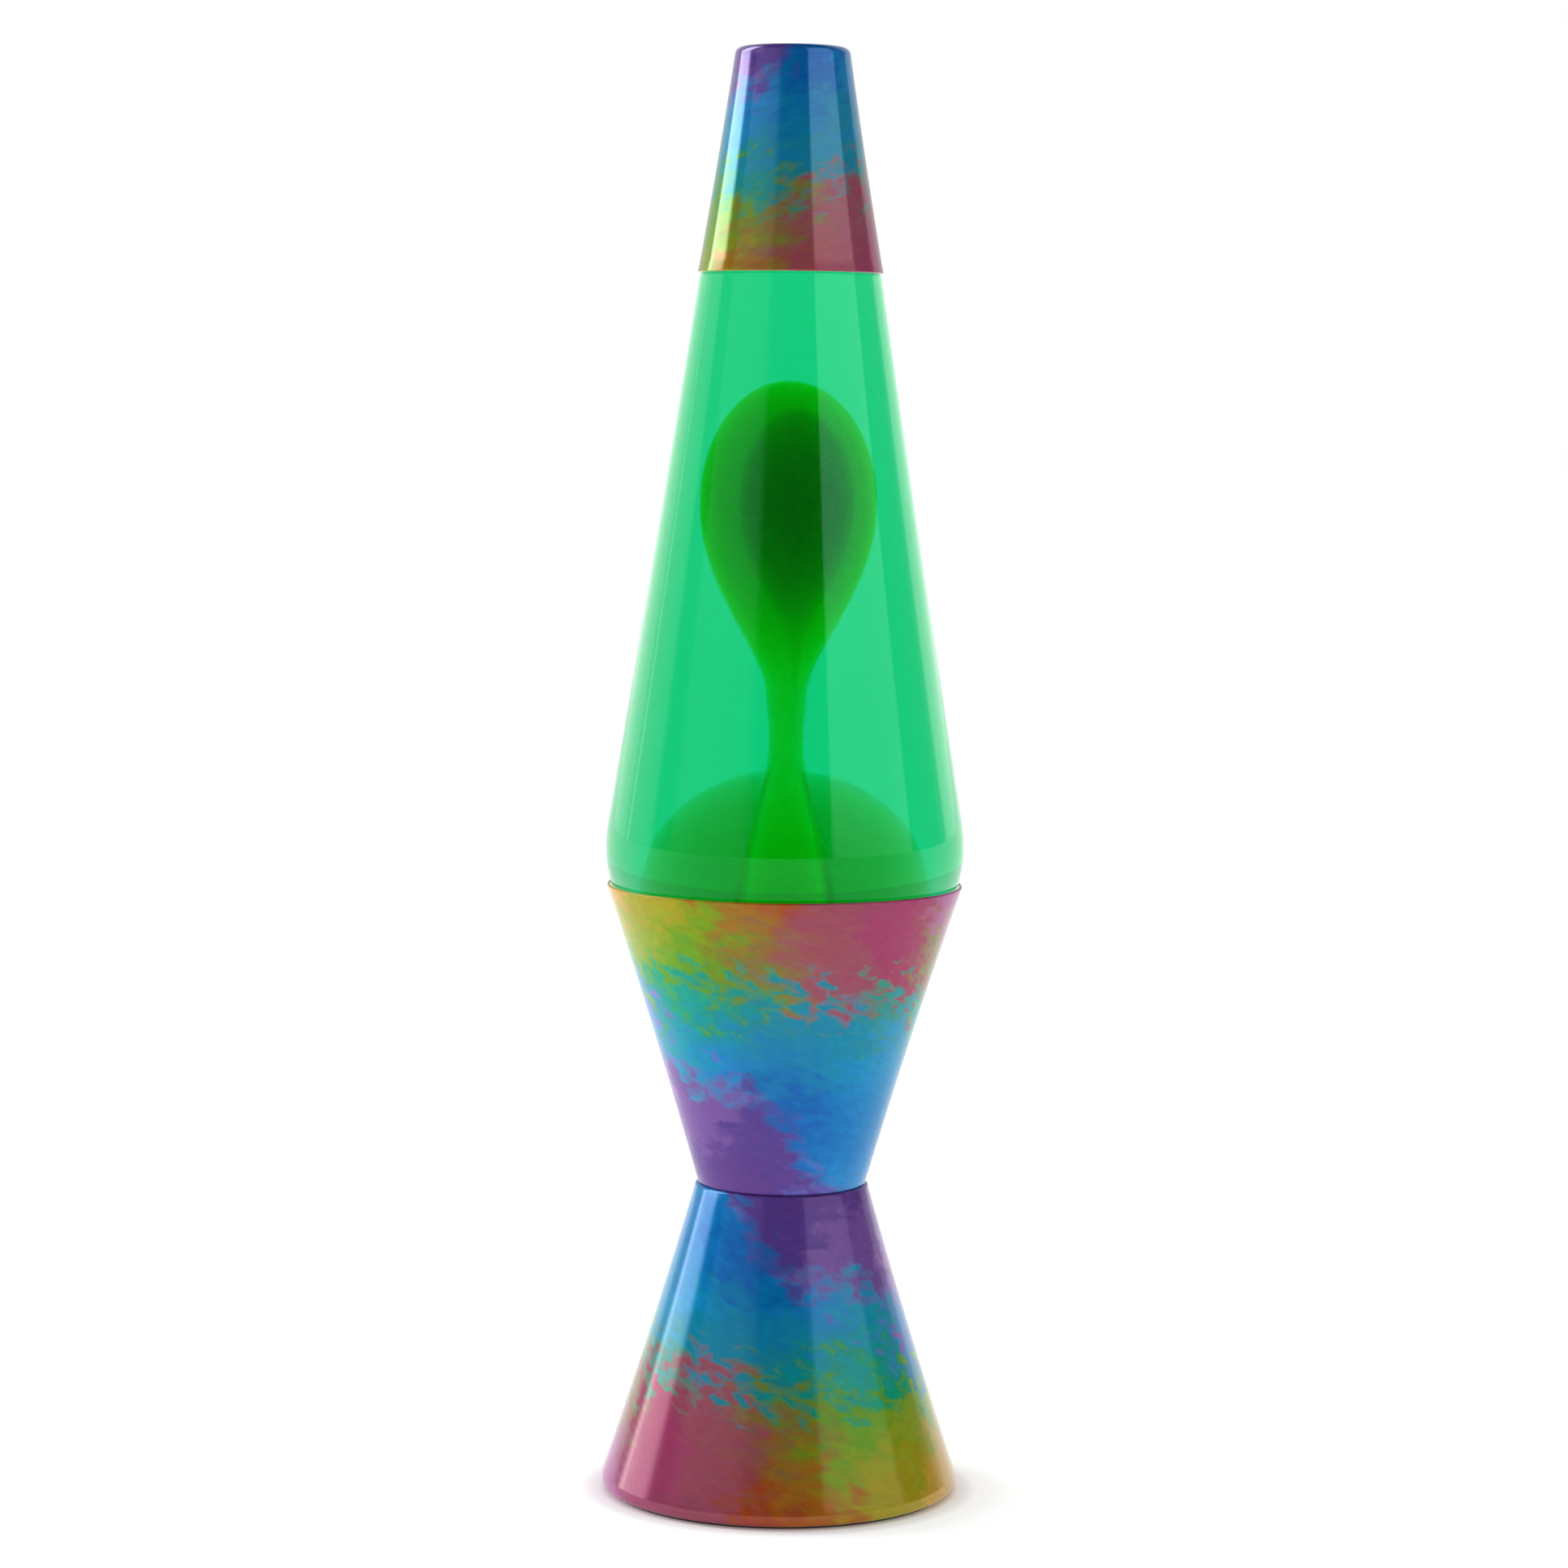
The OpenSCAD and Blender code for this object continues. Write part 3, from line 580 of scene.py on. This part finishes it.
def make_upper_cone():
    """The cone that holds the bottle, painted outside, with a painted glow inside that stands for the bulb's
    light.
    """
    foot = arc((UPPER_WAIST_R - WAIST_EDGE_R, WAIST_Z + WAIST_EDGE_R), WAIST_EDGE_R, -90, -UPPER_SLOPE, 6)
    lip = arc((RIM_R - RIM_EDGE_R, RIM_Z - RIM_EDGE_R), RIM_EDGE_R, -UPPER_SLOPE, 180 - UPPER_SLOPE, 12)
    corner = (UPPER_WAIST_R - SHELL_T / math.cos(math.radians(UPPER_SLOPE)), WAIST_Z + SHELL_T)
    outline = [(HOLE_R, WAIST_Z)] + foot + bow(foot[-1], lip[0], -UPPER_SAG) + lip
    outline += bow(lip[-1], corner, UPPER_SAG) + [corner, (HOLE_R, WAIST_Z + SHELL_T)]
    mesh = lathe("painted_upper_cone", outline)
    # Inside: a painted glow that stands for the bulb's light.
    side_of(mesh, print_paint("upper_print", RIM_Z, -1, gloss=0.2), reflector_painted_glow(),
            lambda f: f.center.z < (RIM_Z - 0.5) * MM and (faces_inwards(f) or f.normal.z > 0.7))
    piece("painted_upper_cone", mesh, "base", ["upper_cone"])


LOWER_WAIST_R = 22.3
LOWER_SAG = 0.45
FOOT_R, FOOT_LIP_R, FOOT_Z = 45.75, 41.5, 0.5
CURL_R = 2.4
BULGE_R, BULGE_A = 5.5, 20
FOOT_EDGE_Z = FOOT_Z + CURL_R
INLET_Z = 18.0
INLET_R = 4.6


def lower_wall():
    """The lower and upper ends of the lower cone's outer wall, and its slope."""
    a = math.radians(BULGE_A)
    low = (FOOT_R - BULGE_R + BULGE_R * math.cos(a), FOOT_EDGE_Z + BULGE_R * math.sin(a))
    high = (LOWER_WAIST_R, WAIST_Z - WAIST_EDGE_R)
    return low, high, math.atan2(low[0] - high[0], high[1] - low[1])


def is_bare(face):
    """Is a face of the lower cone unpainted: inside it, above the curl of its foot?"""
    past_curl = face.center.z > (FOOT_Z + SHELL_T - 0.05) * MM
    under_floor = face.normal.z < -0.7 and face.center.z > (WAIST_Z - 10) * MM
    return past_curl and (faces_inwards(face) or under_floor)


def make_lower_cone():
    """The cone that stands on the table, with a bulged and curled foot."""
    curl, bulge = (FOOT_R - CURL_R, FOOT_EDGE_Z), (FOOT_R - BULGE_R, FOOT_EDGE_Z)
    low, high, slope = lower_wall()
    wall = SHELL_T / math.cos(slope)
    corner = (LOWER_WAIST_R - wall - 0.1, WAIST_Z - SHELL_T)
    outline = [(FOOT_LIP_R, FOOT_Z)] + arc(curl, CURL_R, -90, 0, 8) + arc(bulge, BULGE_R, 0, BULGE_A, 6)[1:]
    outline += bow(low, high, -LOWER_SAG)
    outline += arc((high[0] - WAIST_EDGE_R, high[1]), WAIST_EDGE_R, math.degrees(slope), 90, 6)
    outline += [(HOLE_R, WAIST_Z), (HOLE_R, WAIST_Z - SHELL_T), corner]
    outline += bow(corner, (low[0] - wall, low[1]), LOWER_SAG)
    outline += arc(bulge, BULGE_R - SHELL_T, BULGE_A, 0, 6)[1:] + arc(curl, CURL_R - SHELL_T, 0, -90, 8)[1:]
    outline += [(FOOT_LIP_R, FOOT_Z + SHELL_T)]
    mesh = lathe("painted_lower_cone", outline)
    paint = print_paint("lower_print", FOOT_EDGE_Z, 1, start=-6.0, turn=-5.0, gloss=0.4, blur=0.12)
    side_of(mesh, paint, METAL["bare"], is_bare)
    cone = piece("painted_lower_cone", mesh, "base", ["lower_cone"])
    drill(cone, INLET_R)


def drill(cone, radius):
    """Cuts the cord inlet's hole through the lower cone at the back, square to the wall."""
    low, high, slope = lower_wall()
    t = (INLET_Z - low[1]) / (high[1] - low[1])
    r = low[0] + (high[0] - low[0]) * t - LOWER_SAG * 4 * t * (1 - t)
    bpy.ops.mesh.primitive_cylinder_add(vertices=48, radius=radius * MM, depth=12 * MM,
                                        location=(0, r * MM, INLET_Z * MM),
                                        rotation=(slope - math.pi / 2, 0, 0))
    cutter = bpy.context.object
    cut = cone.modifiers.new("inlet", "BOOLEAN")
    cut.operation = "DIFFERENCE"
    cut.solver = "EXACT"
    cut.object = cutter
    apply_modifiers(cone)
    bpy.data.objects.remove(cutter)


def apply_modifiers(made):
    """Turns a piece's modifiers into its mesh."""
    bpy.context.view_layer.update()
    done = bpy.data.meshes.new_from_object(made.evaluated_get(bpy.context.evaluated_depsgraph_get()))
    made.modifiers.clear()
    old = made.data
    made.data = done
    bpy.data.meshes.remove(old)


# ---------------------------------------------------------------- bottle, liquid and wax

BOTTLE_Z = 129.0
GLASS_T = 2.4
GLASS_SAG = 0.2
# The centres and radii of the arcs from the heel to the wall
BELLY_LOW_C, BELLY_LOW_R = (16.8, 166.1), 29
BELLY_UP_C, BELLY_UP_R = (5.8, 166.1), 40
HEEL_C, HEEL_R = (30.73, 135.0), 6
# The slopes where the heel meets the belly, and of the wall, in degrees
SEAT_A = 18.3
WALL_A = 9.07
PUNT_R, PUNT_H = 27.0, 5.0
PUNT_BOW_R = (PUNT_R ** 2 + PUNT_H ** 2) / (2 * PUNT_H)
# The step in that the cap goes over
LEDGE_Z, LEDGE_STEP = CAP_Z - 0.5, 0.75
SHOULDER_Z, SHOULDER_R = 325.5, 6
THROAT_R = 8
NECK_R = 12.6
MOUTH_Z, MOUTH_EDGE_R = 355.3, 0.5
# The bead that the crown grips
BEAD_R, BEAD_ROUND_R = 13.3, 2
BEAD_Z = MOUTH_Z - BEAD_ROUND_R
FILL_Z = 328.0
LIQUID_GAP = 0.02


def bottle_points():
    """The ledge, the centres of the shoulder's and the throat's arcs, and the angle at which these meet."""
    slope = math.radians(WALL_A)
    top = (BELLY_UP_C[0] + BELLY_UP_R * math.cos(slope), BELLY_UP_C[1] + BELLY_UP_R * math.sin(slope))
    ledge = (top[0] - (LEDGE_Z - top[1]) * math.tan(slope), LEDGE_Z)
    shoulder_r = ledge[0] - LEDGE_STEP - (SHOULDER_Z - LEDGE_Z) * math.tan(slope)
    shoulder = (shoulder_r - SHOULDER_R * math.cos(slope), SHOULDER_Z - SHOULDER_R * math.sin(slope))
    across = NECK_R + THROAT_R - shoulder[0]
    up = math.sqrt((SHOULDER_R + THROAT_R) ** 2 - across ** 2)
    throat = (shoulder[0] + across, shoulder[1] + up)
    return ledge, shoulder, throat, math.degrees(math.atan2(up, across))


def punt_line(t):
    """The bottle's raised bottom, t inside its outer face."""
    reach = math.degrees(math.asin(PUNT_R / PUNT_BOW_R))
    return [(r, z + t) for r, z in arc((0, BOTTLE_Z + PUNT_H - PUNT_BOW_R), PUNT_BOW_R, 90, 90 - reach, 12)]


def belly_line(t):
    """The bottle from its heel to its wall, t inside its outer face."""
    return (arc(HEEL_C, HEEL_R - t, -90, -SEAT_A, 12) + arc(BELLY_LOW_C, BELLY_LOW_R - t, -SEAT_A, 0, 14)
            + arc(BELLY_UP_C, BELLY_UP_R - t, 0, WALL_A, 8)[1:])


def throat_line(t):
    """The bottle from its shoulder to its neck, t inside its outer face."""
    _, shoulder, throat, angle = bottle_points()
    return (arc(shoulder, SHOULDER_R - t, WALL_A, angle, 12)
            + arc(throat, THROAT_R + t, 180 + angle, 180, 12)[1:])


def make_bottle():
    """The hollow bottle. Its inner wall isn't drawn where it is wet, and its empty neck is plain glass."""
    ledge = bottle_points()[0]
    low, inner_low, inner_high = belly_line(0), belly_line(GLASS_T), throat_line(GLASS_T)
    outline = punt_line(0) + low + bow(low[-1], ledge, -GLASS_SAG, 24)
    outline += [ledge, (ledge[0] - 0.3, ledge[1] + 0.1), (ledge[0] - LEDGE_STEP, ledge[1] + 0.2)]
    outline += throat_line(0) + [(NECK_R, BEAD_Z - 6.3), (BEAD_R, BEAD_Z - 5.4)]
    outline += arc((BEAD_R - BEAD_ROUND_R, BEAD_Z), BEAD_ROUND_R, 0, 90, 8)
    mouth = (NECK_R - GLASS_T + MOUTH_EDGE_R, MOUTH_Z - MOUTH_EDGE_R)
    outline += arc(mouth, MOUTH_EDGE_R, 90, 180, 4) + inner_high[::-1]
    outline += bow(inner_high[0], inner_low[-1], GLASS_SAG, 24) + inner_low[::-1] + punt_line(GLASS_T)[::-1]
    mesh = lathe("glass_globe", outline, closed=False)
    wet = FILL_Z * MM
    outer = clear_glass("clear_glass", ior=1.4, gleam=(0.35, 1, 0.75), one_way=True)
    side_of(mesh, outer, unseen("wet_glass"), lambda f: f.center.z < wet and is_inner_wall(f))
    mesh.materials.append(clear_glass("neck_glass", (0.90, 0.95, 0.93)))
    for face in mesh.polygons:
        if face.center.z > wet:
            face.material_index = 2
    piece("glass_globe", mesh, "globe", ["glass_bottle"])


def is_inner_wall(face):
    """Does a face of the bottle look at the liquid?"""
    low = face.center.z < (BOTTLE_Z + 12) * MM and face.normal.z > 0.3
    return low or faces_inwards(face)


def make_liquid():
    """The liquid, a hair clear of the glass, with the edge of its surface drawn up the wall."""
    t = GLASS_T + LIQUID_GAP
    low, high = belly_line(t), throat_line(t)
    wall = [p for p in low + bow(low[-1], high[0], -GLASS_SAG, 24) + high if p[1] < FILL_Z]
    edge_r = wall[-1][0] - (FILL_Z - wall[-1][1]) * 0.6
    outline = punt_line(t) + wall + [(edge_r, FILL_Z)]
    outline += [(edge_r - 0.6, FILL_Z - 0.5), (edge_r - 1.6, FILL_Z - 0.8), (0, FILL_Z - 0.8)]
    mesh = lathe("green_liquid", outline, closed=False)
    mesh.materials.append(in_glass("green_liquid", (0.016, 0.525, 0.19), (0.0, 0.97, 0.9), 20.0))
    piece("green_liquid", mesh, "globe", ["liquid"])


# Heights: the top of the pooled wax, where the stalk is thinnest, and the balloon's neck, middle and top
POOL_Z = 140.9
THIN_Z = 190.0
BALLOON_LOW_Z, BALLOON_MID_Z, BALLOON_TOP_Z = 205.7, 252.3, 283.8
BALLOON_R, STALK_R, FLARE_R = 16.2, 3.4, 14.8
HEART_OFF, HEART_R, HEART_LOW_Z, HEART_TOP_Z = 1.5, 10.5, 216.0, 277.0
MOUND_AT, MOUND_DEPTH, MOUND_R, MOUND_MID_Z, MOUND_TOP_Z = 13.0, 0.6, 25.0, 146.0, 184.0
WAX_FOOT_Z = POOL_Z - 4
WAX_STEPS = 72
# How far the mound's parting reaches to front and back
PARTING_REACH = 60


def balloon_outline(thin, wide, low, top):
    """Half the outline of the balloon and its stalk, widening towards the balloon's middle."""
    neck = thin + 0.6
    made = []
    for i in range(1, 7):
        t = i / 6
        made.append((thin + (neck - thin) * t * t, THIN_Z + (low - THIN_Z) * t))
    for i in range(1, 25):
        t = i / 24
        widened = (1 - math.cos(math.pi * t ** 0.75)) / 2
        made.append((neck + (wide - neck) * widened, low + (BALLOON_MID_Z - low) * t))
    for i in range(1, 19):
        a = math.radians(5 * i)
        made.append((wide * math.cos(a), BALLOON_MID_Z + (top - BALLOON_MID_Z) * math.sin(a)))
    return made


def gap_cutter(half):
    """A prism from front to back through the bottle, with the outline of half and its mirror image."""
    gap = bmesh.new()
    loop = [gap.verts.new((r * MM, -PARTING_REACH * MM, z * MM)) for r, z in half]
    loop += [gap.verts.new((-r * MM, -PARTING_REACH * MM, z * MM)) for r, z in reversed(half)]
    side = bmesh.ops.extrude_face_region(gap, geom=[gap.faces.new(loop)])["geom"]
    moved = [v for v in side if isinstance(v, bmesh.types.BMVert)]
    bmesh.ops.translate(gap, verts=moved, vec=(0, 2 * PARTING_REACH * MM, 0))
    bmesh.ops.recalc_face_normals(gap, faces=gap.faces)
    cutter = bpy.data.objects.new("gap", to_mesh("gap", gap))
    bpy.context.scene.collection.objects.link(cutter)
    return cutter


def blob(name, outline, material, off=(0, 0), depth=1, voxel=0.9, smoothing=12, parting=None):
    """A spun shape of wax, set off the axis, flattened from front to back, remeshed and smoothed. parting is
    half the outline of a gap that runs through it from front to back."""
    mesh = lathe(name, outline, closed=False, steps=WAX_STEPS)
    mesh.transform(Matrix.Translation((off[0] * MM, off[1] * MM, 0)) @ Matrix.Diagonal((1, depth, 1, 1)))
    made = bpy.data.objects.new(name, mesh)
    bpy.context.scene.collection.objects.link(made)
    remesh = made.modifiers.new("remesh", "REMESH")
    remesh.mode = "VOXEL"
    remesh.voxel_size = voxel * MM
    if parting:
        cutter = gap_cutter(parting)
        cut = made.modifiers.new("cut", "BOOLEAN")
        cut.operation = "DIFFERENCE"
        cut.object = cutter
    smooth = made.modifiers.new("smooth", "SMOOTH")
    smooth.factor = 0.5
    smooth.iterations = smoothing
    apply_modifiers(made)
    if parting:
        bpy.data.objects.remove(cutter)
    made.data.shade_smooth()
    made.data.set_sharp_from_angle(angle=math.radians(WAX_SHARP_A))
    made.data.materials.append(material)
    return made


def dome(r, mid, top):
    """Half the outline of a mound: straight up to mid, then rounded."""
    made = [(0, WAX_FOOT_Z), (r, WAX_FOOT_Z)]
    for i in range(19):
        a = math.radians(5 * i)
        made.append((r * math.cos(a), mid + (top - mid) * math.sin(a)))
    return made


def make_wax():
    """The balloon with its stalk and flared foot, a darker core at its heart that is painted shade for its
    thick middle, and a hazy mound behind.
    """
    outline = [(0, WAX_FOOT_Z), (FLARE_R, WAX_FOOT_Z)]
    for i in range(25):
        t = i / 24
        outline.append((STALK_R + (FLARE_R - STALK_R) * (1 - t) ** 1.53, POOL_Z + (THIN_Z - POOL_Z) * t))
    outline += balloon_outline(STALK_R, BALLOON_R, BALLOON_LOW_Z, BALLOON_TOP_Z)
    clear = (1, 1, 1)
    wax = blob("wax", outline, in_glass("warm_wax", clear, (0.0, 0.915, 0.0), 400.0))
    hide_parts("wax_stalk", "wax_balloon")
    # The heart is painted shade: a core that tints more strongly and darkens the balloon's middle.
    outline = [(0, THIN_Z)] + balloon_outline(0.8, HEART_R, HEART_LOW_Z, HEART_TOP_Z)
    heart = blob("wax_heart", outline, in_glass("wax_core_painted_shade", clear, (0.0, 0.70, 0.0), 120.0), (HEART_OFF, 0))
    for made in (wax, heart):
        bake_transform(made)
    # The mound is parted where the stalk's foot stands, so that the foot stays bright from the front
    apart = [(10.4, POOL_Z - 5), (0.8, MOUND_TOP_Z + 6)]
    haze = in_glass("hazy_wax", clear, (0.0, 0.77, 0.0), 105.0)
    mound = blob("wax_mound_soft", dome(MOUND_R, MOUND_MID_Z, MOUND_TOP_Z), haze,
                 (0, MOUND_AT), MOUND_DEPTH, 1.2, 10, apart)
    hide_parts("wax_mound")
    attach(mound, "globe")


def make_coil(name, body, nodes, path, wire_r, material, sides=8):
    """A wire along a path of points in millimetres, with flat ends."""
    shape = bmesh.new()
    points = [Vector(p) for p in path]
    rings = []
    side = None
    for i, point in enumerate(points):
        along = (points[min(i + 1, len(points) - 1)] - points[max(i - 1, 0)]).normalized()
        if side is None:
            side = along.orthogonal().normalized()
        side = (side - along * side.dot(along)).normalized()
        up = along.cross(side)
        ring = []
        for k in range(sides):
            a = 2 * math.pi * k / sides
            ring.append(shape.verts.new((point + (side * math.cos(a) + up * math.sin(a)) * wire_r) * MM))
        rings.append(ring)
    for a, b in zip(rings, rings[1:]):
        for k in range(sides):
            n = (k + 1) % sides
            shape.faces.new((a[k], a[n], b[n], b[k]))
    shape.faces.new(rings[0][::-1])
    shape.faces.new(rings[-1])
    mesh = to_mesh(name, shape)
    mesh.materials.append(material)
    piece(name, mesh, body, nodes)


def heat_coil_path(turns=64, ring_r=24.0, coil_r=1.35, height=134.8, steps=12):
    """A helix bent into a ring that almost closes."""
    made = []
    for i in range(turns * steps + 1):
        ring, turn = 2 * math.pi * i / (turns * steps) * 0.995, 2 * math.pi * i / steps
        r = ring_r + coil_r * math.cos(turn)
        made.append((r * math.cos(ring), r * math.sin(ring), height + coil_r * math.sin(turn)))
    return made


# ---------------------------------------------------------------- materials for the carried-over nodes

def dress(node, material):
    """Gives a carried-over node one material all over."""
    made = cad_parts[node]
    if not made.data.materials:
        made.data.materials.append(material)
    for i in range(len(made.data.materials)):
        made.data.materials[i] = material


METAL = {
    "bare": spun_metal("bare_aluminium", (0.55, 0.55, 0.56), (0.78, 0.78, 0.79), 0.32),
    "crown": spun_metal("crown_tinplate", (0.52, 0.50, 0.46), (0.78, 0.77, 0.74), 0.28, 0.8),
    "zinc": spun_metal("zinc_plate", (0.42, 0.43, 0.44), (0.66, 0.67, 0.70), 0.36, 0.6),
    "brass": spun_metal("brass", (0.48, 0.30, 0.08), (0.72, 0.50, 0.18), 0.30, 0.6),
    "nickel": spun_metal("nickel_cap", (0.45, 0.43, 0.40), (0.70, 0.68, 0.64), 0.25, 0.4),
    "tungsten": spun_metal("tungsten", (0.16, 0.16, 0.17), (0.30, 0.30, 0.32), 0.4, 0.3),
}


def dress_nodes():
    dress("crown_cap", METAL["crown"])
    dress("crown_seal", moulded("seal_liner", (0.62, 0.58, 0.42), (0.72, 0.69, 0.55), 0.5))
    for node in ("ring_nut", "plate_screws", "plate_brackets"):
        dress(node, METAL["zinc"])
    dress("terminal_screws", METAL["zinc"])
    for node in ("screw_shell", "centre_contact", "terminals"):
        dress(node, METAL["brass"])
    dress("holder_washer", moulded("fibre_washer", (0.22, 0.05, 0.03), (0.32, 0.09, 0.05), 0.7, 1.0, 0.05))
    dress("lampholder", moulded("phenolic", (0.012, 0.011, 0.010), (0.035, 0.030, 0.026), 0.28, 1.5, 0.01))
    dress("bulb_glass", thin_glass("bulb_glass_clear"))
    dress("bulb_cap", METAL["nickel"])
    dress("bulb_tip", METAL["zinc"])
    dress("bulb_insulator",
          moulded("black_glass", (0.008, 0.008, 0.012), (0.02, 0.02, 0.03), 0.12, 0.8, 0.005))
    dress("bulb_filament", METAL["tungsten"])
    dress("base_plate", moulded("plate_fibre", (0.020, 0.020, 0.022), (0.045, 0.045, 0.050), 0.65, 1.4, 0.06))
    dress("foot_ring", moulded("foot_rubber", (0.020, 0.020, 0.026), (0.040, 0.040, 0.050), 0.6, 2.0, 0.03))
    dress("cord_grommet",
          moulded("grommet_rubber", (0.012, 0.012, 0.013), (0.030, 0.030, 0.032), 0.55, 2.0, 0.03))


# ---------------------------------------------------------------- everything

make_camera()
make_world()
make_floor()
make_cap()
make_upper_cone()
make_lower_cone()
make_bottle()
make_liquid()
make_wax()
make_coil("heat_spring", "globe", ["heat_coil"], heat_coil_path(), 0.38, METAL["nickel"])
dress_nodes()

scene = bpy.context.scene
scene.view_settings.view_transform = "Standard"
scene.view_settings.look = "None"

bpy.context.view_layer.update()
